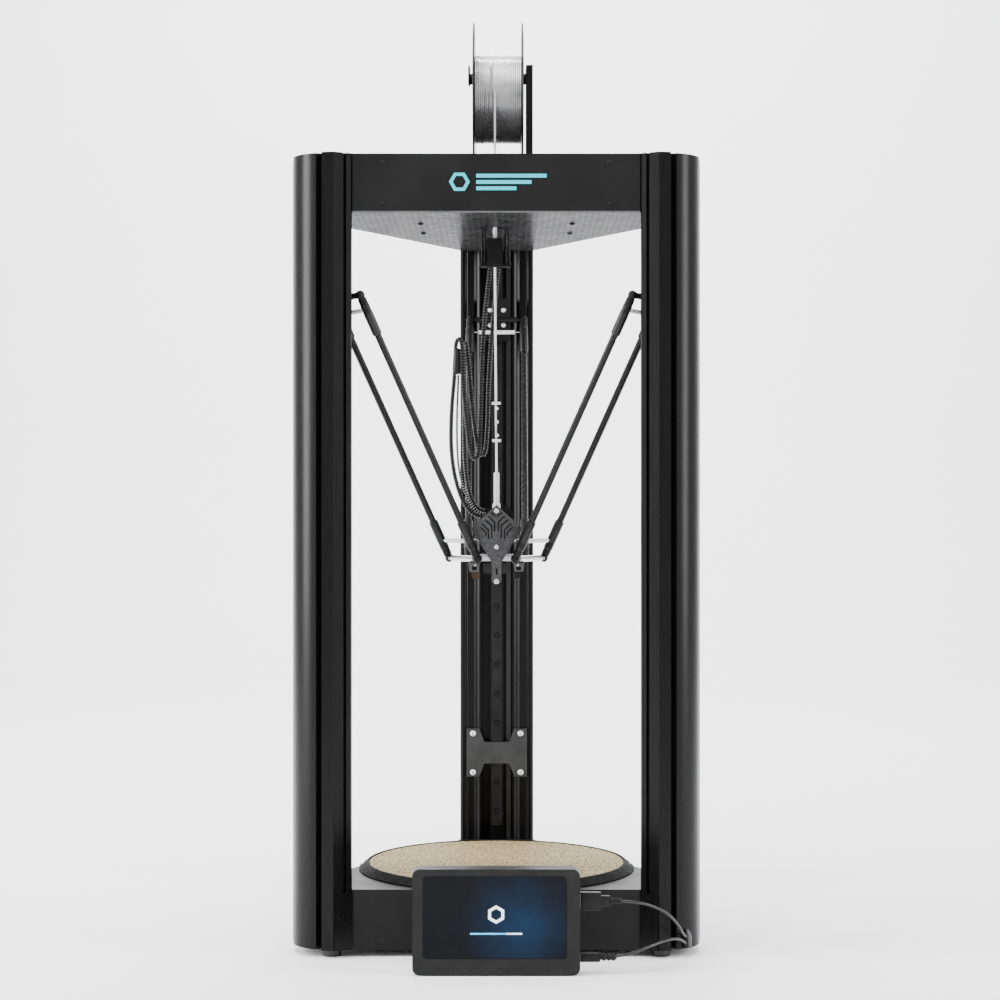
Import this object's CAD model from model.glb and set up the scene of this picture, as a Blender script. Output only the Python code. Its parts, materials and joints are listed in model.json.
"""Looks of the delta printer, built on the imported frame. Metres, +Z up, front towards -Y."""

import json
import random
from math import atan2, cos, hypot, pi, radians, sin, sqrt

import bmesh
import bpy
from mathutils import Matrix, Vector


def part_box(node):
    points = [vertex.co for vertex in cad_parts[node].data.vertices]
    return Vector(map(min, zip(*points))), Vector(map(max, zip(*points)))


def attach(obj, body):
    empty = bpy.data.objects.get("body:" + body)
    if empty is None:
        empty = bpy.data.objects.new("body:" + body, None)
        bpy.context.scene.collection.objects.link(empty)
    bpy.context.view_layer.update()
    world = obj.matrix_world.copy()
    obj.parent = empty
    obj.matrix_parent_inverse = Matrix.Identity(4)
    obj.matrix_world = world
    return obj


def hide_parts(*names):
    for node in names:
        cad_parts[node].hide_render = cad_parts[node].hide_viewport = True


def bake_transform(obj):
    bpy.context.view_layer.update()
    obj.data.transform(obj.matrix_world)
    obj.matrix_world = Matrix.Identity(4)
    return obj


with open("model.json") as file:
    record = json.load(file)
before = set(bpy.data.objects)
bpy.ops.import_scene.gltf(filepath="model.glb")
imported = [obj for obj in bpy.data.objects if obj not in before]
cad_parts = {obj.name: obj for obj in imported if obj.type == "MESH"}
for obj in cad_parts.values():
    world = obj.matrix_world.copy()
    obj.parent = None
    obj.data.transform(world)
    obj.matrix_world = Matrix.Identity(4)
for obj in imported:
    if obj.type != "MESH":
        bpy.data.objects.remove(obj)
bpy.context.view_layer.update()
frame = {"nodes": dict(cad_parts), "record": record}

AXIS_Y = -0.0085  # the axis that the three towers stand round
SPOOL_Y = AXIS_Y + 0.044
FEED_X, FEED_Y = -0.002, AXIS_Y - 0.0144  # where the filament comes down through the top
STRAND_FOOT = 0.5805  # height at which the filament goes into the head's collar
PANEL = 0.155  # from the axis to the casings' outer faces
FRAME = "frame"
HEAD = "effector"


# ---- camera, lights and floor ----


def show(holder):
    bpy.context.scene.collection.objects.link(holder)


def make_camera():
    camera = bpy.data.cameras.new("camera")
    camera.lens = 76.5
    camera.sensor_width = 36
    camera.shift_y = 0.0037
    holder = bpy.data.objects.new("camera", camera)
    holder.location = (0.0044, AXIS_Y - 2.688, 0.540)
    holder.rotation_euler = (radians(90), 0, 0)
    show(holder)
    bpy.context.scene.camera = holder


def make_light(name, place, target, width, height, power):
    light = bpy.data.lights.new(name, "AREA")
    light.shape = "RECTANGLE"
    light.size = width
    light.size_y = height
    light.energy = power
    holder = bpy.data.objects.new(name, light)
    holder.location = place
    holder.rotation_euler = (Vector(target) - Vector(place)).to_track_quat("-Z", "Y").to_euler()
    show(holder)


def make_lights():
    world = bpy.data.worlds.new("studio")
    world.use_nodes = True
    backdrop = world.node_tree.nodes["Background"]
    backdrop.inputs["Color"].default_value = (1, 1, 1, 1)
    backdrop.inputs["Strength"].default_value = 1.25
    bpy.context.scene.world = world
    middle = (0, 0, 0.55)
    make_light("left_panel", (-2.9, -0.8, 1.3), middle, 1.1, 2.2, 200)
    make_light("right_panel", (2.6, -0.9, 1.2), middle, 0.7, 2.0, 80)
    make_light("top_panel", (-0.4, -0.8, 3.0), middle, 1.8, 1.8, 90)
    make_light("backdrop_panel", (0, 1.5, 4.2), (0, 5.2, 1.0), 3.0, 1.0, 520)


def make_floor():
    """A pale floor that sweeps up behind the machine."""
    line = [(-6.0, 0.0), (3.5, 0.0)]
    for step in range(1, 13):
        turn = radians(7.5 * step)
        line.append((3.5 + 1.5 * sin(turn), 1.5 - 1.5 * cos(turn)))
    line.append((5.0, 7.0))
    points = [(x, y, z - 0.0002) for y, z in line for x in (-8, 8)]
    faces = [(2 * i, 2 * i + 1, 2 * i + 3, 2 * i + 2) for i in range(len(line) - 1)]
    mesh = bpy.data.meshes.new("floor")
    mesh.from_pydata(points, [], faces)
    mesh.shade_smooth()
    floor = bpy.data.objects.new("floor", mesh)
    show(floor)
    mesh.materials.append(MATERIALS["floor"])


# ---- materials ----

MATERIALS = {}


class Surface:
    """A material under construction, with short names for the nodes that it needs."""

    def __init__(self, name):
        self.material = bpy.data.materials.new(name)
        self.material.use_nodes = True
        self.tree = self.material.node_tree
        self.shader = self.tree.nodes["Principled BSDF"]
        self.coordinates = self.tree.nodes.new("ShaderNodeTexCoord").outputs["Object"]
        MATERIALS[name] = self.material

    def feed(self, socket, value):
        """Gives a socket a value, or a link where the value is another node's output."""
        if isinstance(value, bpy.types.NodeSocket):
            self.tree.links.new(value, socket)
        else:
            socket.default_value = value

    def add(self, kind, inputs=None, **settings):
        made = self.tree.nodes.new(kind)
        for key, value in settings.items():
            setattr(made, key, value)
        for key, value in (inputs or {}).items():
            self.feed(made.inputs[key], value)
        return made

    def set(self, **values):
        """Sets the shader's own sockets. An underscore in a name stands for a space."""
        for key, value in values.items():
            self.feed(self.shader.inputs[key.replace("_", " ")], value)

    def stretched(self, scale):
        inputs = {"Vector": self.coordinates, "Scale": scale}
        return self.add("ShaderNodeMapping", inputs).outputs[0]

    def noise(self, scale, detail=4, stretch=(1, 1, 1), roughness=0.55):
        inputs = {"Vector": self.stretched(stretch), "Scale": scale, "Detail": detail,
                  "Roughness": roughness}
        return self.add("ShaderNodeTexNoise", inputs).outputs["Fac"]

    def ramp(self, factor, colours, low=0.3, high=0.7):
        """Maps factor from low..high to a mix of two colours."""
        made = self.add("ShaderNodeValToRGB", {"Fac": factor})
        made.color_ramp.elements[0].position = low
        made.color_ramp.elements[1].position = high
        for element, colour in zip(made.color_ramp.elements, colours):
            element.color = (*colour, 1)
        return made.outputs["Color"]

    def values(self, factor, low, high, from_low=0.3, from_high=0.7):
        inputs = {"Value": factor, "From Min": from_low, "From Max": from_high,
                  "To Min": low, "To Max": high}
        return self.add("ShaderNodeMapRange", inputs).outputs["Result"]

    def mix(self, factor, first, second):
        made = self.add("ShaderNodeMix", data_type="RGBA")
        for key, value in (("Factor_Float", factor), ("A_Color", first), ("B_Color", second)):
            socket = next(s for s in made.inputs if s.identifier == key)
            self.feed(socket, (*value, 1) if isinstance(value, tuple) else value)
        return next(s for s in made.outputs if s.identifier == "Result_Color")

    def maths(self, operation, first, second=0.0):
        return self.add("ShaderNodeMath", {0: first, 1: second}, operation=operation).outputs[0]

    def bump(self, height, depth, strength=1.0):
        inputs = {"Height": height, "Distance": depth, "Strength": strength}
        self.set(Normal=self.add("ShaderNodeBump", inputs).outputs["Normal"])


def grey(level):
    return (level, level, level * 1.02)


def mottled(name, dark, light, grain, rough, metallic=0.0, stretch=(1, 1, 1), depth=0.0001,
            bump_grain=900, gloss=0.5):
    """Colour and roughness that drift between two values, over a fine bump.

    dark and light are colours, or plain numbers for greys."""
    surface = Surface(name)
    drift = surface.noise(grain, 5, stretch)
    shades = [grey(shade) if isinstance(shade, float) else shade for shade in (dark, light)]
    surface.set(
        Base_Color=surface.ramp(drift, shades),
        Roughness=surface.values(surface.noise(grain * 1.7, 3, stretch), *rough),
        Metallic=metallic,
        Specular_IOR_Level=gloss,
    )
    surface.bump(surface.noise(bump_grain, 3, stretch), depth, 0.5)


def make_plain_materials():
    mottled("floor", 0.90, 0.92, 1.5, (0.8, 0.9), depth=0.0004, bump_grain=60)
    along = (14, 14, 0.35)
    mottled("column_aluminium", 0.0015, 0.0030, 40, (0.24, 0.32), 0.0, along, 0.00003,
            260, gloss=0.13)
    mottled("machined_aluminium", 0.52, 0.66, 90, (0.24, 0.38), 1.0, (1, 1, 6))
    mottled("dark_panel", 0.004, 0.008, 14, (0.38, 0.48), depth=0.00003,
            bump_grain=420, gloss=0.14)
    mottled("bracket_grey", 0.026, 0.040, 60, (0.42, 0.54), depth=0.00005, gloss=0.2)
    mottled("black_plastic", 0.003, 0.006, 50, (0.36, 0.50), depth=0.00008, gloss=0.16)
    mottled("dark_metal", 0.006, 0.012, 60, (0.34, 0.46), 0.2, gloss=0.2)
    mottled("bright_steel", 0.52, 0.68, 160, (0.16, 0.30), 1.0, (1, 1, 5), 0.00002)
    mottled("white_metal", 0.78, 0.88, 160, (0.25, 0.4), 0.5, depth=0.00002)
    mottled("brass", (0.46, 0.29, 0.09), (0.66, 0.46, 0.18), 200, (0.24, 0.40), 1.0)
    mottled("rubber", 0.004, 0.010, 120, (0.30, 0.42), depth=0.0002, gloss=0.4)
    mottled("white_plastic", 0.84, 0.90, 60, (0.28, 0.42), depth=0.00004)
    mottled("grey_plastic", 0.06, 0.10, 60, (0.42, 0.56), bump_grain=1400, gloss=0.3)
    mottled("brown_plastic", (0.028, 0.014, 0.006), (0.055, 0.028, 0.013), 90, (0.4, 0.55),
            gloss=0.2)
    mottled("cyan_paint", (0.010, 0.40, 0.50), (0.020, 0.46, 0.55), 60, (0.36, 0.46), gloss=0.1)
    mottled("insulation", 0.10, 0.22, 300, (0.80, 0.95), depth=0.0006, bump_grain=500)
    mottled("pad_bezel", 0.009, 0.014, 40, (0.40, 0.50), depth=0.00003, bump_grain=1500,
            gloss=0.12)
    mottled("shrunk_sleeve", 0.004, 0.008, 90, (0.34, 0.48), depth=0.00015,
            bump_grain=300, gloss=0.3)
    mottled("white_sleeve", 0.42, 0.56, 120, (0.35, 0.5), gloss=0.3)
    mottled("grey_sleeve", 0.006, 0.016, 150, (0.28, 0.4), depth=0.0002)
    mottled("pale_filament", 0.88, 0.93, 200, (0.22, 0.34), depth=0.00002)
    mottled("pale_spring", 0.84, 0.90, 200, (0.25, 0.4), depth=0.00002)
    mottled("spool_plastic", 0.005, 0.010, 30, (0.28, 0.40), depth=0.00006, gloss=0.2)
    mottled("sleeve_plastic", 0.003, 0.008, 90, (0.28, 0.40), gloss=0.3)
    mottled("shroud_paint", 0.035, 0.075, 300, (0.42, 0.55), 0.35, depth=0.00012,
            gloss=0.3)
    mottled("slot_black", 0.003, 0.006, 90, (0.6, 0.8), gloss=0.1)


def make_perforated_sheet():
    """Pale sheet with rows of small round holes."""
    surface = Surface("grey_sheet")
    pitch = 0.0075
    split = surface.add("ShaderNodeSeparateXYZ", {"Vector": surface.coordinates})
    distance = []
    for axis in ("X", "Y"):
        cell = surface.maths("FRACT", surface.maths("DIVIDE", split.outputs[axis], pitch))
        distance.append(surface.maths("POWER", surface.maths("SUBTRACT", cell, 0.5), 2.0))
    reach = surface.maths("SQRT", surface.maths("ADD", *distance))
    hole = surface.values(reach, 1.0, 0.0, 0.22, 0.27)
    sheet = surface.ramp(surface.noise(25, 5), (grey(0.13), grey(0.19)))
    surface.set(
        Base_Color=surface.mix(hole, sheet, grey(0.03)),
        Roughness=surface.values(surface.noise(60), 0.24, 0.34),
        Metallic=0.9,
        Specular_Tint=(0.2, 0.2, 0.2, 1),
    )
    surface.bump(surface.maths("SUBTRACT", 1.0, hole), 0.0006, 0.8)


def make_bed_coating():
    """Warm speckled coating."""
    surface = Surface("bed_coating")
    speck = surface.ramp(surface.noise(330, 4, roughness=0.85),
                         ((0.040, 0.028, 0.010), (0.54, 0.43, 0.22)), 0.44, 0.58)
    patch = surface.noise(9, 4)
    surface.set(
        Base_Color=surface.mix(surface.values(patch, 0.0, 0.15), speck, (0.22, 0.17, 0.08)),
        Roughness=surface.values(patch, 0.62, 0.76),
        Specular_IOR_Level=0.1,
    )
    surface.bump(surface.noise(1800, 2), 0.0002, 0.6)


def make_carbon():
    """Woven rods under clear resin."""
    surface = Surface("arm_carbon")
    checks = surface.add("ShaderNodeTexChecker", {"Vector": surface.coordinates, "Scale": 520.0})
    weave = checks.outputs["Fac"]
    surface.set(
        Base_Color=surface.mix(surface.values(weave, 0.0, 1.0, 0, 1), grey(0.002), grey(0.018)),
        Roughness=surface.values(surface.noise(200), 0.20, 0.30),
        Specular_IOR_Level=0.2,
    )
    surface.bump(weave, 0.00015, 0.6)


def make_circuit_board():
    surface = Surface("circuit_board")
    cells = surface.add("ShaderNodeTexBrick", {"Vector": surface.coordinates, "Scale": 60.0})
    track = surface.values(cells.outputs["Fac"], 0.0, 0.7, 0, 1)
    surface.set(
        Base_Color=surface.mix(track, (0.01, 0.06, 0.03), (0.04, 0.20, 0.08)),
        Roughness=surface.values(surface.noise(80), 0.35, 0.5),
    )
    surface.bump(track, 0.0001, 0.5)


def make_filament():
    """Silvery silk filament: a sheen that drifts round the winding."""
    surface = Surface("grey_filament")
    drift = surface.noise(26, 4, (1, 1, 2.2))
    surface.set(
        Base_Color=surface.ramp(drift, (grey(0.34), grey(0.56)), 0.35, 0.65),
        Roughness=surface.values(drift, 0.24, 0.36),
        Metallic=0.55,
        Coat_Weight=0.3,
        Coat_Roughness=0.2,
    )
    surface.bump(surface.noise(900), 0.00008, 0.4)


def make_braid():
    """Two crossing sets of fine bands."""
    surface = Surface("braided_sleeve")
    bands = []
    for turn in (0.9, -0.9):
        place = surface.add("ShaderNodeMapping", {"Vector": surface.coordinates,
                                                  "Rotation": (turn, 0.3, turn)})
        wave = surface.add("ShaderNodeTexWave", {"Vector": place.outputs[0], "Scale": 260.0})
        bands.append(wave.outputs["Fac"])
    weave = surface.maths("MAXIMUM", *bands)
    surface.set(
        Base_Color=surface.mix(weave, grey(0.003), grey(0.016)),
        Roughness=surface.values(surface.noise(300), 0.32, 0.45),
    )
    surface.bump(weave, 0.0003, 0.7)


def make_display():
    """A dark blue picture with a soft glow: light comes from the surface itself."""
    surface = Surface("display")
    cloud = surface.noise(14, 3, (1, 1, 1.3))
    moved = surface.add("ShaderNodeMapping", {"Vector": surface.coordinates,
                                              "Location": (-0.028, 0.268, -0.062)})
    reach = surface.add("ShaderNodeVectorMath", {0: moved.outputs[0]}, operation="LENGTH")
    near = surface.values(reach.outputs["Value"], 1.0, 0.0, 0.0, 0.085)
    glow = surface.maths("MULTIPLY", near, surface.values(cloud, 0.35, 1.0))
    picture = surface.ramp(glow, ((0.0022, 0.0032, 0.008), (0.004, 0.045, 0.125)), 0.10, 1.0)
    surface.set(Base_Color=surface.ramp(cloud, (grey(0.001), grey(0.002))),
                Roughness=surface.values(cloud, 0.10, 0.18), Specular_IOR_Level=0.08,
                Emission_Color=picture, Emission_Strength=1.0)


def make_lit(name, colour):
    surface = Surface(name)
    shade = surface.noise(40, 3)
    bright = tuple(min(1.0, c * 1.5 + 0.01) for c in colour)
    picture = surface.ramp(shade, (colour, bright))
    surface.set(Base_Color=picture, Roughness=surface.values(shade, 0.12, 0.2),
                Emission_Color=picture, Emission_Strength=0.8)


def make_materials():
    make_plain_materials()
    make_perforated_sheet()
    make_bed_coating()
    make_carbon()
    make_circuit_board()
    make_filament()
    make_braid()
    make_display()
    make_lit("lit_white", (0.62, 0.66, 0.70))
    make_lit("lit_blue", (0.04, 0.34, 0.62))


# ---- mesh helpers ----


def turned(degrees):
    return Matrix.Rotation(radians(degrees), 4, "Z")


def tower(degrees):
    """The frame of a tower: X along the machine's side, Y outwards, origin on its axis."""
    return Matrix.Translation((0, AXIS_Y, 0)) @ turned(degrees)


TOWERS = {"left": tower(120), "right": tower(240), "rear": tower(0)}


class Parts:
    """Gathers points and faces of several shapes for one piece."""

    def __init__(self, *materials):
        self.points = []
        self.faces = []
        self.indices = []
        self.materials = materials

    def add(self, points, faces, place=None, material=None):
        base = len(self.points)
        place = place or Matrix.Identity(4)
        self.points += [place @ Vector(p) for p in points]
        self.faces += [tuple(base + i for i in face) for face in faces]
        index = self.materials.index(material) if material else 0
        self.indices += [index] * len(faces)
        return self

    def make(self, name, body, slot, smooth=True, replaces=None):
        """The finished piece, which rides on a body if one is given."""
        mesh = bpy.data.meshes.new(name)
        mesh.from_pydata(self.points, [], self.faces)
        for material in self.materials:
            mesh.materials.append(MATERIALS[material])
        mesh.polygons.foreach_set("material_index", self.indices)
        mesh.validate()
        build = bmesh.new()
        build.from_mesh(mesh)
        bmesh.ops.recalc_face_normals(build, faces=build.faces)
        build.to_mesh(mesh)
        build.free()
        if smooth:
            mesh.shade_smooth()
            mesh.set_sharp_from_angle(angle=radians(35))
        made = bpy.data.objects.new(name, mesh)
        show(made)
        if body:
            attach(made, body)
        if replaces:
            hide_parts(replaces)
        return made


def joined_rings(count, sides, closed=False):
    """Faces between rings of points, with a cap on each end unless they close in a loop."""
    faces = []
    for ring in range(count if closed else count - 1):
        base = ring * sides
        following = (ring + 1) % count * sides
        for side in range(sides):
            after = (side + 1) % sides
            faces.append((base + side, base + after, following + after, following + side))
    if not closed:
        faces.append(tuple(range(sides - 1, -1, -1)))
        faces.append(tuple(range((count - 1) * sides, count * sides)))
    return faces


def revolved(profile, sides=32, closed=False):
    """Points and faces of a profile (radius, height) turned about Z."""
    points = []
    for radius, height in profile:
        for side in range(sides):
            turn = 2 * pi * side / sides
            points.append((radius * cos(turn), radius * sin(turn), height))
    return points, joined_rings(len(profile), sides, closed)


def block(low, high, edge=0.0005):
    """Points and faces of a box whose edges are cut by a small flat."""
    build = bmesh.new()
    bmesh.ops.create_cube(build, size=1)
    middle = (Vector(low) + Vector(high)) / 2
    sides = Vector(high) - Vector(low)
    for corner in build.verts:
        corner.co = Vector(c * s for c, s in zip(corner.co, sides)) + middle
    bmesh.ops.bevel(build, geom=build.edges[:], offset=edge, segments=2, affect="EDGES",
                    profile=0.5)
    points = [tuple(v.co) for v in build.verts]
    faces = [tuple(v.index for v in f.verts) for f in build.faces]
    build.free()
    return points, faces


def prism(outline, front, back):
    """Points and faces of an upright outline (x, z) that runs from front to back."""
    count = len(outline)
    points = [(x, y, z) for y in (front, back) for x, z in outline]
    faces = [tuple(range(count)), tuple(range(2 * count - 1, count - 1, -1))]
    faces += [(i, (i + 1) % count, (i + 1) % count + count, i + count) for i in range(count)]
    return points, faces


def facing(place, direction):
    """A matrix that turns +Z to a direction and moves the origin to a place."""
    turn = Vector(direction).to_track_quat("Z", "Y").to_matrix().to_4x4()
    return Matrix.Translation(place) @ turn


def screw_head(radius):
    """A button head with a six-sided socket."""
    socket = radius * 0.42
    profile = [(radius, 0), (radius, radius * 0.18), (radius * 0.86, radius * 0.42),
               (radius * 0.6, radius * 0.55)]
    sides = 18
    points, faces = revolved(profile, sides)
    faces.pop()
    rim = len(points)
    base = rim - sides
    floor = rim + sides
    for height in (radius * 0.55, radius * 0.1):
        for side in range(sides):
            turn = 2 * pi * side / sides
            reach = socket / cos((turn + pi / 6) % (pi / 3) - pi / 6)
            points.append((reach * cos(turn), reach * sin(turn), height))
    for side in range(sides):
        after = (side + 1) % sides
        faces.append((base + side, base + after, rim + after, rim + side))
        faces.append((rim + side, rim + after, floor + after, floor + side))
    faces.append(tuple(range(floor, floor + sides)))
    return points, faces


def swept(line, radii, sides=14):
    """Points and faces of a tube along a line of points, with a radius for each point."""
    points = []
    side_way = None
    for index, (point, radius) in enumerate(zip(line, radii)):
        ahead = line[min(index + 1, len(line) - 1)] - line[max(index - 1, 0)]
        ahead.normalize()
        if side_way is None:
            side_way = ahead.orthogonal().normalized()
        side_way = (side_way - ahead * side_way.dot(ahead)).normalized()
        other_way = ahead.cross(side_way)
        for side in range(sides):
            turn = 2 * pi * side / sides
            points.append(point + (side_way * cos(turn) + other_way * sin(turn)) * radius)
    return points, joined_rings(len(line), sides)


# ---- cords ----

LEAD = 0.0032
SLEEVE = 0.0064
PALE = 0.004
UPPER_LEAD = [
    (131.2, -247, 83.5), (150, -246.5, 83.3), (170, -241, 80), (187, -231, 72.5),
    (201, -217.5, 62.5), (212, -202, 48.5), (219.5, -186, 34.5), (223.5, -170, 27),
    (226.6, -157, 24.5),
]
LOWER_LEAD = [
    (132.4, -247, 19.5), (147, -246, 20.8), (163, -241, 24.5), (179, -232, 29), (194, -219, 32),
    (207, -203, 31.5), (217, -185, 27), (222.8, -170, 20.5), (226.6, -157, 16.5),
]
OUTER_HARNESS = [
    (-8, -2, 837.4), (-12, 4, 805), (-16, 9, 765), (-18.5, 11, 722), (-19.5, 11, 680),
    (-20.5, 10, 645), (-21, 8.5, 616), (-24, 6.5, 597), (-31, 3.5, 597), (-35.5, 1, 622),
    (-39, -1, 655), (-42, -2, 690), (-43, -2.5, 724), (-44, -2, 748), (-51.5, 5, 748),
    (-52, 4.5, 724), (-53.5, 3.5, 698), (-56, 2, 672), (-57.6, 1.5, 641), (-57.6, 2, 612),
    (-55, 3, 585), (-49.5, 5, 561), (-42.5, 6.5, 542), (-32, 8, 528.5), (-22, 8.5, 523.5),
    (-14.3, 8.5, 523.1),
]
INNER_HARNESS = [
    (2, -2, 837.4), (-1, 6, 805), (-5, 13, 765), (-8.5, 17, 722), (-10.5, 19, 680),
    (-11, 20, 648), (-12.5, 19.5, 622), (-14.5, 18, 602), (-22, 15, 602), (-26, 13.5, 624),
    (-30, 12.5, 655), (-33, 12.5, 690), (-36, 12.5, 722), (-38, 13, 744), (-41.5, 22, 744),
    (-41.5, 22.5, 722), (-41.3, 22, 690), (-41.3, 21.5, 650), (-41, 21, 610), (-39, 20, 575),
    (-34, 18.5, 550), (-28, 18, 538), (-21.5, 17.5, 531.5), (-14.3, 17.5, 531),
]
PALE_HARNESS = [
    (-48.3, 6.8, 703.2), (-49, 7.8, 682), (-50.3, 9, 652), (-50.3, 9.5, 618),
    (-48.5, 10.5, 587), (-43.5, 11.7, 563), (-35.5, 12.8, 545), (-28, 13, 533),
    (-21.5, 13, 527.4), (-14.3, 13, 527),
]


def smooth_route(name, route):
    """A curve whose line is a NURBS spline with the route's points, given in millimetres."""
    curve = bpy.data.curves.new(name, "CURVE")
    curve.dimensions = "3D"
    curve.resolution_u = 24
    spline = curve.splines.new("NURBS")
    spline.points.add(len(route) - 1)
    for point, (x, y, z) in zip(spline.points, route):
        point.co = (x / 1000, AXIS_Y + y / 1000, z / 1000, 1)
    spline.order_u = 3
    spline.use_endpoint_u = True
    return bpy.data.objects.new(name, curve)


def line_of(route):
    """Points along a route's smooth line."""
    holder = smooth_route("line", route)
    show(holder)
    bpy.context.view_layer.update()
    shown = holder.evaluated_get(bpy.context.evaluated_depsgraph_get())
    mesh = bpy.data.meshes.new_from_object(shown)
    points = [vertex.co.copy() for vertex in mesh.vertices]
    bpy.data.objects.remove(holder)
    bpy.data.meshes.remove(mesh)
    return points


def evenly(points, step):
    """The same line with its points a step apart."""
    lengths = [0.0]
    for before, after in zip(points, points[1:]):
        lengths.append(lengths[-1] + (after - before).length)
    count = max(2, round(lengths[-1] / step))
    even = []
    index = 0
    for mark in range(count + 1):
        want = lengths[-1] * mark / count
        while index < len(points) - 2 and lengths[index + 1] < want:
            index += 1
        gap = lengths[index + 1] - lengths[index]
        share = (want - lengths[index]) / gap if gap else 0
        even.append(points[index].lerp(points[index + 1], share))
    return even


def line_length(points):
    return sum((b - a).length for a, b in zip(points, points[1:]))


def plug_lead(name, route):
    """A smooth round lead from a plug to the gland."""
    lead = smooth_route(name + "_look", route)
    lead.data.bevel_depth = LEAD / 2
    lead.data.bevel_resolution = 6
    lead.data.use_fill_caps = True
    lead.data.materials.append(MATERIALS["rubber"])
    show(lead)
    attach(lead, FRAME)
    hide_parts(name)
    line_length(line_of(route))


def harness(name, route, diameter, material, slot, pitch, depth, on_it=(), dark_rows=(2,)):
    """A ribbed tube: of the four rows in every pitch, two are narrower and some are dark."""
    line = line_of(route)
    even = evenly(line, pitch / 4)
    wave = (1.0, 1.0, 1.0 - depth, 1.0 - depth)
    radii = [diameter / 2 * wave[index % 4] for index in range(len(even))]
    sides = 12
    points, faces = swept(even, radii, sides)
    made = Parts(material, "slot_black").add(points, faces)
    made.indices = [1 if face // sides % 4 in dark_rows else 0 for face in range(len(faces))]
    tube = made.make(name + "_look", None, slot, replaces=name)
    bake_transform(tube)


def shrunk_sleeve():
    """A tapered sleeve round the outer harness, out of which the pale strand comes."""
    start = Vector((-0.0502, AXIS_Y + 0.0057, 0.7044))
    along = Vector((0.0016, 0.0010, 0.0320))
    line = [start + along * (step / 12) for step in range(13)]
    radii = [0.0051 + 0.0009 * sin(pi * step / 12) ** 0.5 for step in range(13)]
    made = Parts("shrunk_sleeve").add(*swept(line, radii, 20))
    sleeve = made.make("sleeve_look", None, "rubber", replaces="pale_harness")
    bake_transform(sleeve)
    return sleeve


def filament():
    """The strand that leaves the winding, and the strand from the clamp to the head."""
    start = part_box("filament_feed")[1].z * 1000
    feed = [(-2.0, -14.4, z) for z in (start, 1040, 960, 839)]
    slope = [(-2.0, -14.4, 837.5), (-1.6, -11.5, 785), (-0.8, -5.8, 684),
             (0, 0, STRAND_FOOT * 1000)]
    for name, route, body in (("filament_feed", feed, FRAME), ("filament_strand", slope, None)):
        line = line_of(route)
        even = evenly(line, 0.004)
        made = Parts("pale_filament").add(*swept(even, [0.00142] * len(even), 14))
        strand = made.make(name + "_look", body, "grey_filament", replaces=name)
        if body is None:
            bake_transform(strand)


def plug_piece(name, centre, body_end, half_height, nose, beads):
    """A plug's moulded body, its stepped nose and a beaded strain relief round the lead."""
    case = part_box("pad_case")[1].x
    y = AXIS_Y - 0.247
    made = Parts("black_plastic", "grey_plastic")
    nose_end, nose_half = nose
    # start, end, half depth, half height, cut edge
    for low, high, deep, tall, edge, material in (
            (case, body_end, 0.0045, half_height, 0.0014, "black_plastic"),
            (case, case + 0.0009, 0.0046, half_height - 0.0015, 0.0003, "grey_plastic"),
            (body_end - 0.001, nose_end, 0.00369, nose_half, 0.0016, "black_plastic")):
        made.add(*block((low, y - deep, centre - tall), (high, y + deep, centre + tall), edge),
                 None, material)
    radius, count, pitch = beads
    profile = [(radius * 0.72, -0.0006)]
    for bead in range(count):
        for step in range(7):
            turn = pi * step / 6
            profile.append((radius * (0.72 + 0.28 * sin(turn)), pitch * (bead + step / 7)))
    profile.append((LEAD / 2 + 0.0003, pitch * count + 0.0008))
    made.add(*revolved(profile, 24), facing((nose_end, y, centre), (1, 0, 0)))
    return made.make(name + "_look", FRAME, "black_plastic", replaces="lead_fittings")


def gland_piece():
    """The leaf-shaped sleeve at the column's foot that both leads go into."""
    made = Parts("grey_plastic", "black_plastic")
    place = Matrix.Translation((0.2285, AXIS_Y - 0.1525, 0)) @ turned(-12)
    for offset, thick, low, high, material in ((0.0018, 0.0034, 0.0105, 0.0325, "grey_plastic"),
                                               (-0.0026, 0.0044, 0.0100, 0.0285, "black_plastic")):
        line = []
        radii = []
        for step in range(13):
            share = step / 12
            bow = 1 - 2 * share
            line.append(Vector((offset + 0.0022 * bow * abs(bow), -0.0030,
                                low + (high - low) * share)))
            radii.append(0.0009 + (thick - 0.0009) * sin(pi * share) ** 0.7)
        made.add(*swept(line, radii, 18), place, material)
    return made.make("gland_look", FRAME, "black_plastic", replaces="lead_fittings")


def make_cords():
    gland = gland_piece()
    upper_plug = plug_piece("upper_plug", 0.0835, 0.1205, 0.0105, (0.1310, 0.0064),
                            (0.0036, 4, 0.0032))
    plug_lead("upper_lead", UPPER_LEAD)
    lower_plug = plug_piece("lower_plug", 0.0193, 0.1195, 0.0052, (0.1215, 0.0032),
                            (0.0044, 3, 0.0054))
    plug_lead("lower_lead", LOWER_LEAD)
    harness("outer_harness", OUTER_HARNESS, SLEEVE, "braided_sleeve", "braided_sleeve", 0.0036,
            0.30, [shrunk_sleeve()])
    harness("inner_harness", INNER_HARNESS, SLEEVE, "grey_sleeve", "braided_sleeve", 0.0036, 0.30)
    harness("pale_harness", PALE_HARNESS, PALE, "white_sleeve", "white_plastic", 0.0032, 0.40,
            dark_rows=(1, 2, 3))
    filament()


# ---- pieces ----


# CAD slots and nodes whose material has another name than their slot
SLOT_LOOKS = {"pad_glass": "pad_bezel"}
NODE_LOOKS = {"brackets": "bracket_grey", "pad_case": "pad_bezel", "bed_rim": "slot_black"}


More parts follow.
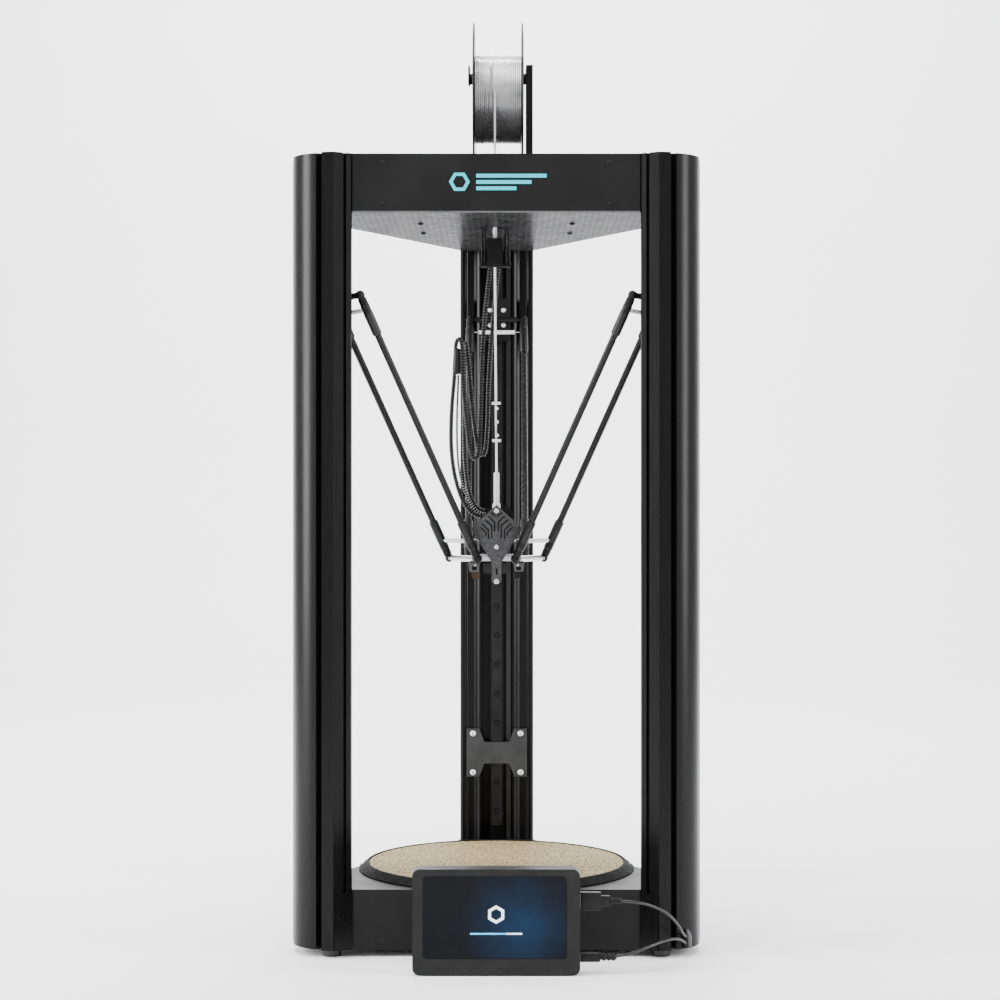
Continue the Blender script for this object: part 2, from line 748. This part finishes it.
def finish_cad_nodes():
    """Every CAD node takes the material of its slot, unless another is listed for it."""
    for entry in frame["record"]["subparts"]:
        shown = frame["nodes"][entry["node"]]
        slot_look = SLOT_LOOKS.get(entry["material_slot"], entry["material_slot"])
        material = MATERIALS[NODE_LOOKS.get(entry["node"], slot_look)]
        for held in shown.material_slots:
            held.material = material
        if not shown.material_slots:
            shown.data.materials.append(material)


def spool_piece():
    """Two thin flanges with raised rims and ringed faces, joined by a hub."""
    low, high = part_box("spool")
    outer = (high.z - low.z) / 2
    width = high.x - low.x
    wall = 0.0022
    bore = 0.034
    hub = 0.040
    rim = 0.004
    inset = 0.0006
    profile = [
        (bore, 0), (bore + 0.004, 0), (bore + 0.004, inset), (0.052, inset), (0.052, 0),
        (0.0555, 0), (0.0555, inset), (outer - rim, inset), (outer - rim, 0), (outer - 0.0006, 0),
        (outer, 0.0006), (outer, wall - 0.0006), (outer - 0.0006, wall), (outer - rim, wall),
        (outer - rim, wall - inset / 2), (hub, wall - inset / 2),
    ]
    far = [(radius, width - height) for radius, height in reversed(profile)]
    place = facing((low.x, SPOOL_Y, (low.z + high.z) / 2), (1, 0, 0))
    made = Parts("spool_plastic").add(*revolved(profile + far, 128, closed=True), place)
    for index in range(6):
        for height in (0.00025, width - 0.00025):
            rib = block((0.057, -0.0016, -0.00025), (outer - 0.006, 0.0016, 0.00025), 0.0001)
            made.add(*rib, place @ Matrix.Translation((0, 0, height)) @ turned(60 * index))
    made.make("spool_look", "spool", "black_plastic", replaces="spool")


def winding_piece():
    """Filament laid side by side: rows of turns with a few that cross over the top."""
    low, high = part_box("filament_winding")
    outer = (high.z - low.z) / 2
    width = high.x - low.x
    strand = 0.0023
    rows = int(width / strand)
    profile = [(0.0402, 0)]
    for row in range(rows):
        for step in range(5):
            share = (step + 0.5) / 5
            swell = sqrt(max(0, 1 - (2 * share - 1) ** 2))
            profile.append((outer - 0.0018 + 0.0009 * swell, (row + share) * width / rows))
    profile.append((0.0402, width))
    chance = random.Random(7)
    place = facing((low.x, SPOOL_Y, (low.z + high.z) / 2), (1, 0, 0))
    made = Parts("grey_filament").add(*revolved(profile, 120, closed=True), place)
    for index in range(9):
        start = chance.uniform(0, 2 * pi)
        span = chance.uniform(1.6, 3.4)
        first = chance.uniform(0.05, 0.6) * width
        drift = chance.uniform(0.10, 0.30) * width * chance.choice((-1, 1))
        line = []
        for step in range(49):
            share = step / 48
            dive = min(1.0, 6 * share, 6 * (1 - share))
            reach = outer - 0.0022 + 0.0011 * dive
            turn = start + span * share
            along = min(max(first + drift * share, 0.0015), width - 0.0015)
            line.append(place @ Vector((reach * cos(turn), reach * sin(turn), along)))
        made.add(*swept(line, [0.00105] * len(line), 8))
    made.make("winding_look", "spool", "grey_filament", replaces="filament_winding")


# the arms' lower balls, and the way from them to the upper balls, outwards and up
HEAD_REACH = 0.048
HEAD_BALL = 0.4715
ARM_OUT = 0.162
ARM_UP = 0.3191


def arm_pieces():
    """Rods with a carbon shaft, a dark sleeve with grip rings at each end, and open sockets."""
    half = 0.0365
    length = hypot(ARM_OUT, ARM_UP)
    lean = Matrix.Rotation(-atan2(ARM_OUT, ARM_UP), 4, "X")
    sleeve = [(0.0050, 0.0125), (0.0057, 0.0140)]
    for ring in range(5):
        start = 0.016 + ring * 0.0016
        sleeve += [(0.0058, start), (0.0052, start + 0.0004), (0.0052, start + 0.0008),
                   (0.0058, start + 0.0012)]
    sleeve += [(0.0058, 0.026), (0.0058, 0.0505), (0.0054, 0.0520), (0.0043, 0.0522)]
    made = Parts("arm_carbon", "black_plastic", "sleeve_plastic")
    for stand in TOWERS.values():
        for side in (1, -1):
            ball = Matrix.Translation((half * side, HEAD_REACH, HEAD_BALL))
            place = stand @ ball @ lean
            shaft = [(0.0042, 0.051), (0.0042, length - 0.051)]
            made.add(*revolved(shaft, 20), place, "arm_carbon")
            flip = Matrix.Translation((0, 0, length)) @ Matrix.Rotation(pi, 4, "X")
            for end in (Matrix.Identity(4), flip):
                made.add(*revolved(sleeve, 20), place @ end, "sleeve_plastic")
                made.add(*socket_shell(side), place @ end, "black_plastic")
    made.make("arms_look", HEAD, "arm_carbon", replaces="arms")


def socket_shell(side):
    """A cup round a ball, open towards the ball's neck."""
    outer = 0.0056
    inner = 0.0043
    profile = []
    for step in range(10):
        turn = radians(-90 + step * 13.5)
        profile.append((outer * cos(turn), outer * sin(turn)))
    for step in range(10):
        turn = radians(31.5 - step * 13.5)
        profile.append((inner * cos(turn), inner * sin(turn)))
    profile = [(max(radius, 0.0001), height) for radius, height in profile]
    shell = Parts().add(*revolved(profile, 20), facing((0, 0, 0), (-side, 0, 0)))
    shell.add(*revolved([(0.0044, 0.0035), (0.0052, 0.0060), (0.0052, 0.0125)], 20))
    return shell.points, shell.faces


def spring_pieces():
    """Close-coiled springs between the pairs of arms, with a hook at each end."""
    made = Parts("pale_spring")
    half, hook, coil, wire = 0.0305, 0.006, 0.0024, 0.0005
    steps = 440
    for stand in TOWERS.values():
        for share in (0.07, 0.945):
            middle = (0, HEAD_REACH + ARM_OUT * share, HEAD_BALL + ARM_UP * share)
            place = stand @ Matrix.Translation(middle)
            line = [Vector((-half, 0, 0))]
            for step in range(steps + 1):
                turn = 2 * pi * step / 10
                x = -half + hook + 2 * (half - hook) * step / steps
                line.append(Vector((x, coil * cos(turn), coil * sin(turn))))
            line.append(Vector((half, 0, 0)))
            made.add(*swept(line, [wire] * len(line), 6), place)
    made.make("springs_look", HEAD, "white_plastic", replaces="arm_springs")


SHROUD_MIDDLE = 0.505


def shroud_surface(x, z):
    """The shroud's faceted front: highest along its middle, and falling back to both sides."""
    return AXIS_Y - 0.060 + 0.36 * abs(x) + 0.06 * abs(z - SHROUD_MIDDLE)


def shroud_spot(x, z, scale, lift):
    """A point of the shroud's front, drawn in towards its middle by a scale and set back."""
    x = x * scale
    z = SHROUD_MIDDLE + (z - SHROUD_MIDDLE) * scale
    return Vector((x, shroud_surface(x, z) + lift, z))


def shroud_piece():
    """The head's faceted cover, with slanting ribs and slots and two screws."""
    outline = [(0.0, 0.5385), (-0.032, 0.509), (-0.007, 0.469), (0.007, 0.469), (0.032, 0.509)]
    back = AXIS_Y - 0.018
    made = Parts("shroud_paint", "slot_black", "bright_steel")
    for scale, lift in ((1.0, 0.0), (0.90, 0.003)):
        rim = [shroud_spot(x, z, scale, lift) for x, z in outline]
        ridge = [shroud_spot(0, z, scale, lift) for z in (SHROUD_MIDDLE, 0.469)]
        points = rim + [Vector((p.x, back, p.z)) for p in rim] + ridge
        faces = [(0, 1, 10), (1, 2, 11, 10), (0, 10, 4), (4, 10, 11, 3)]
        faces += [(i, i + 5, (i + 1) % 5 + 5, (i + 1) % 5) for i in range(5) if i != 2]
        faces += [(2, 7, 8, 3, 11)]
        made.add(points, faces)
    outer_back, inner_back = 5, 17
    for i in range(5):
        after = (i + 1) % 5
        made.faces.append((outer_back + i, outer_back + after, inner_back + after, inner_back + i))
        made.indices.append(0)
    shroud_ribs(made)
    tongue = AXIS_Y - 0.0590
    made.add(*block((-0.0060, tongue, 0.4430), (0.0060, tongue + 0.0030, 0.4740), 0.0006))
    made.add(*block((-0.0008, tongue - 0.0003, 0.4520), (0.0014, tongue + 0.0003, 0.4600), 0.0001),
             None, "slot_black")
    made.add(*screw_head(0.0034), facing((0, tongue, 0.4440), (0, -1, 0)), "bright_steel")
    for z in (0.5310, 0.4865):
        place = facing((0, shroud_surface(0, z) - 0.0006, z), (0, -1, 0))
        made.add(*screw_head(0.0030), place, "bright_steel")
    made.make("shroud_look", HEAD, "dark_metal", smooth=False, replaces="head_shroud")


def shroud_ribs(made):
    """Slots that slant towards the middle and then run down, a pair in each row."""
    rows = (
        ((0.0068, 0.5293), (0.0012, 0.5240), None),
        ((0.0099, 0.5242), (0.0022, 0.5170), 0.5056),
        ((0.0140, 0.5200), (0.0058, 0.5128), 0.4974),
        ((0.0181, 0.5149), (0.0099, 0.5077), 0.4960),
        ((0.0202, 0.5108), (0.0133, 0.5046), 0.5000),
    )
    for side in (1, -1):
        for outer, inner, foot in rows:
            corners = [outer, inner] + ([(inner[0], foot)] if foot else [])
            for ends in zip(corners, corners[1:]):
                line = [Vector((side * x, shroud_surface(x, z), z)) for x, z in ends]
                made.add(*swept(line, [0.0009, 0.0009], 6), None, "slot_black")
        for x, top, foot in ((0.0038, 0.5140, 0.4950), (0.0078, 0.5090, 0.4880),
                             (0.0022, 0.4930, 0.4780)):
            line = [Vector((side * x, shroud_surface(x, z), z)) for z in (top, foot)]
            made.add(*swept(line, [0.0005, 0.0005], 6), None, "shroud_paint")


def fan_frame(made):
    """The fan's square frame round its opening, with three spokes behind the rotor."""
    bore, half, deep = 0.0140, 0.0150, 0.0100
    ring = [(bore, 0), (half, 0), (half, deep), (bore, deep)]
    place = facing((0, AXIS_Y - 0.042, 0.503), (0, -1, 0))
    made.add(*revolved(ring, 48, closed=True), place)
    for turn in range(4):
        corner = block((half - 0.0042, half - 0.0042, 0), (half, half, deep), 0.0006)
        made.add(*corner, place @ turned(90 * turn))
    for turn in range(3):
        spoke = block((-0.0009, 0, 0.0001), (0.0009, 0.0142, 0.0012), 0.0002)
        made.add(*spoke, place @ turned(120 * turn))


def duct_pieces():
    """Two tapered ducts beside the nozzle, each with a recess, a screw and a darker mouth."""
    made = Parts("black_plastic", "grey_plastic", "slot_black", "white_metal", "brown_plastic")
    front = AXIS_Y - 0.044
    back = AXIS_Y - 0.020
    for side, mouth in ((-1, "brown_plastic"), (1, "black_plastic")):
        upper = [(0.0215, 0.4660), (0.0350, 0.4660), (0.0335, 0.4555), (0.0225, 0.4555)]
        lower = [(0.0220, 0.4555), (0.0320, 0.4555), (0.0300, 0.4470), (0.0215, 0.4465)]
        for outline, material, inset in ((upper, "grey_plastic", 0), (lower, mouth, 0.0010)):
            outline = [(side * x, z) for x, z in outline]
            made.add(*prism(outline, front + inset, back - inset), None, material)
        recess = block((-0.0030, -0.0002, -0.0022), (0.0030, 0.0002, 0.0022), 0.0001)
        made.add(*recess, Matrix.Translation((side * 0.0275, front, 0.4595)), "slot_black")
        made.add(*screw_head(0.0013), facing((side * 0.0265, front, 0.4636), (0, -1, 0)),
                 "white_metal")
    fan_frame(made)
    made.make("ducts_look", HEAD, "black_plastic", replaces="fan_housing")


CLAMP_POSTS = (-0.0180, -0.0142, 0.0110, 0.0155)
CLAMP_Y = AXIS_Y - 0.011
CLAMP_TOP = 0.841


def screws_piece():
    """Screws on the rear bracket and down each rail, the idlers' pins and the clamp's posts."""
    made = Parts("white_metal", "dark_metal", "bright_steel", "slot_black")
    for x in (-0.0325, 0.0325):
        for z in (0.173, 0.226):
            made.add(*screw_head(0.0040), TOWERS["rear"] @ facing((x, 0.2160, z), (0, -1, 0)))
    for place in TOWERS.values():
        for step in range(20):
            z = 0.120 + 0.040 * step
            spot = place @ facing((0, 0.22, z), (0, -1, 0))
            points, faces = revolved([(0.0042, 0), (0.0042, 0.0001), (0.0034, 0.0001)], 16)
            made.add(points, faces[:-1], spot, "slot_black")
            made.add(*revolved([(0.0027, 0), (0.0026, 0.00015)], 6), spot, "dark_metal")
    pin = [(0.0021, 0), (0.0025, 0.0004), (0.0025, 0.0111), (0.0021, 0.0115)]
    for place in TOWERS.values():
        made.add(*revolved(pin, 20), place @ facing((0.010, 0.2344, 0.928), (1, 0, 0)),
                 "bright_steel")
    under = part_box("top_vent_plate")[0].z
    for x in CLAMP_POSTS:
        thread = []
        turns = 30
        for step in range(turns):
            z = CLAMP_TOP + (under - CLAMP_TOP) * step / turns
            thread += [(0.0016, z), (0.00135, z + 0.0007)]
        made.add(*revolved(thread, 12), Matrix.Translation((x, CLAMP_Y, 0)), "dark_metal")
    made.make("screws_look", FRAME, "bright_steel", replaces="pins_and_screws")


def carriage_screws():
    """Four screws on each carriage's plate."""
    for side, place in TOWERS.items():
        made = Parts("white_metal")
        for x in (0.0092, -0.0092):
            for z in (0.8040, 0.7835):
                made.add(*screw_head(0.0030), place @ facing((x, 0.2115, z), (0, -1, 0)))
        made.make(side + "_carriage_screws", side + "_carriage", "bright_steel")


def casing_details():
    """Screws along the casings' edges and a row of slots in the lower rear panels."""
    made = Parts("dark_metal", "slot_black")
    for degrees in (60, 180, 300):
        place = tower(degrees)
        for z in (0.0185, 0.0700, 0.8970, 0.9470):
            for x in (-0.135, 0.135):
                made.add(*screw_head(0.0026), place @ facing((x, PANEL, z), (0, 1, 0)))
    for degrees in (60, 300):
        place = tower(degrees)
        for index in range(12):
            x = -0.110 + 0.0065 * index
            slot = block((x, PANEL - 0.0001, 0.030), (x + 0.0028, PANEL + 0.0002, 0.060), 0.0001)
            made.add(*slot, place, "slot_black")
    made.make("casing_details", FRAME, "dark_metal")


def cover_details():
    """Screws in the covers and in the spool's post, and a bush in the filament hole."""
    made = Parts("bright_steel", "black_plastic")
    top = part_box("top_cover")[1].z
    for place in TOWERS.values():
        for x in (-0.030, 0.030):
            made.add(*screw_head(0.0026), place @ facing((x, 0.205, top), (0, 0, 1)))
    for y in (-0.018, 0.018):
        for x in (0.052, 0.068):
            made.add(*screw_head(0.0026), facing((x, SPOOL_Y + y, top + 0.004), (0, 0, 1)))
    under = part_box("top_vent_plate")[0].z
    for x in (-0.094, 0.094):
        for y in (-0.056, 0.036):
            made.add(*screw_head(0.0036), facing((x, AXIS_Y + y, under), (0, 0, -1)),
                     "black_plastic")
    bush = [(0.0022, 0), (0.0082, 0), (0.0082, 0.0012), (0.0070, 0.0024), (0.0032, 0.0024),
            (0.0022, 0.0012)]
    made.add(*revolved(bush, 32, closed=True), facing((FEED_X, FEED_Y, top), (0, 0, 1)),
             "black_plastic")
    made.make("cover_details", FRAME, "bright_steel")


def bed_details():
    """Six clips' screws round the bed's rim, and a seam ring between sheet and rim."""
    made = Parts("bright_steel", "slot_black")
    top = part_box("bed_rim")[1].z
    ring = [(0.1600, 0), (0.1614, 0), (0.1614, 0.0003), (0.1600, 0.0003)]
    made.add(*revolved(ring, 160, closed=True), Matrix.Translation((0, AXIS_Y, top - 0.0012)),
             "slot_black")
    for index in range(6):
        turn = tower(30 + 60 * index)
        slope = Vector((0, 1, 1.0)).normalized()
        made.add(*screw_head(0.0022), turn @ facing((0, 0.1685, top - 0.0048), slope))
    made.make("bed_details", FRAME, "bright_steel")


def hexagon(x, z, radius, turned=0):
    """Corners (x, z) of an upright hexagon."""
    turns = [radians(60 * corner + turned) for corner in range(6)]
    return [(x + radius * cos(turn), z + radius * sin(turn)) for turn in turns]


def front_mark():
    """A plain mark on the front panel: a hexagon ring beside a stack of layer lines."""
    face = AXIS_Y - PANEL
    front = face - 0.0006
    centre = 0.9237
    made = Parts("cyan_paint")
    points = [(x, y, z) for y in (front, face) for radius in (0.0125, 0.0080)
              for x, z in hexagon(-0.044, centre, radius)]
    made.add(points, [(low + i, low + (i + 1) % 6, high + (i + 1) % 6, high + i)
                      for i in range(6) for low, high in ((0, 6), (0, 12), (6, 18))])
    for row, length in enumerate((0.084, 0.066, 0.048)):
        low = centre + 0.005 - 0.0075 * row
        made.add(*rounded_plate(-0.024, low, -0.024 + length, low + 0.0045, 0.0008, front, face))
    made.make("front_mark", FRAME, "dark_panel", smooth=False)


def rounded_plate(low_x, low_z, high_x, high_z, radius, front, back):
    """Points and faces of an upright plate with round corners."""
    outline = []
    left, right = low_x + radius, high_x - radius
    foot, head = low_z + radius, high_z - radius
    for x, z, start in ((right, head, 0), (left, head, 90), (left, foot, 180), (right, foot, 270)):
        for step in range(7):
            turn = radians(start + 15 * step)
            outline.append((x + radius * cos(turn), z + radius * sin(turn)))
    return prism(outline, front, back)


def pad_details():
    """The lit display in the pad's front, with a plain mark and a bar, and its dark edge."""
    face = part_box("pad_display")[0].y
    made = Parts("display", "lit_white", "lit_blue", "slot_black")
    left, right, foot, head = -0.0834, 0.0800, 0.0203, 0.1134
    edge = 0.0008
    made.add(*rounded_plate(left - edge, foot - edge, right + edge, head + edge, 0.0046,
                            face - 0.00015, face + 0.0002), None, "slot_black")
    made.add(*rounded_plate(left, foot, right, head, 0.0040, face - 0.0003, face))
    front = face - 0.0004
    ring = [(x, front, z) for radius in (0.0105, 0.0068)
            for x, z in hexagon(0, 0.0705, radius, 30)]
    ring_faces = [(i, (i + 1) % 6, (i + 1) % 6 + 6, i + 6) for i in range(6)]
    made.add(ring, ring_faces, None, "lit_white")
    for end, lift, material in ((0.030, 0, "lit_white"), (0.012, 0.0001, "lit_blue")):
        made.add(*rounded_plate(-0.030, 0.0475, end, 0.0495, 0.0009, front - lift, face), None,
                 material)
    made.make("display_look", FRAME, "pad_glass", smooth=False)


def clamp_details():
    """Nuts on the posts, over the clamp's foot."""
    made = Parts("dark_metal")
    for x in CLAMP_POSTS:
        nut = revolved([(0.0032, 0), (0.0032, 0.0024)], 6)
        made.add(*nut, Matrix.Translation((x, CLAMP_Y, CLAMP_TOP)))
    made.make("clamp_details", FRAME, "bright_steel")


def sensor_details():
    """White beads beside the filament, at the sensor's switch and screws."""
    made = Parts("white_plastic")
    top = Vector((FEED_X, FEED_Y, 0.8375))
    foot = Vector((0, AXIS_Y, STRAND_FOOT))
    spot = Matrix.Translation(foot) @ lean_to((top - foot).normalized())
    for height in (0.0395, 0.0865):
        made.add(*block((-0.0052, -0.0062, height - 0.0018), (0.0060, -0.0050, height + 0.0018),
                        0.0005), spot)
    bead = [(0.0006, 0), (0.0022, 0.0006), (0.0022, 0.0020), (0.0006, 0.0028)]
    for height in (0.046, 0.063, 0.080):
        made.add(*revolved(bead, 14), spot @ facing((0.0012, -0.0050, height), (0, -1, 0)))
    made.make("sensor_details", HEAD, "white_plastic")


def lean_to(direction):
    """The smallest turn that brings +Z to a direction."""
    return Vector((0, 0, 1)).rotation_difference(direction).to_matrix().to_4x4()


def make_pieces():
    finish_cad_nodes()
    spool_piece()
    winding_piece()
    arm_pieces()
    spring_pieces()
    shroud_piece()
    duct_pieces()
    screws_piece()
    carriage_screws()
    casing_details()
    cover_details()
    bed_details()
    pad_details()
    clamp_details()
    sensor_details()
    front_mark()


make_camera()
make_materials()
make_cords()
make_lights()
make_floor()
make_pieces()
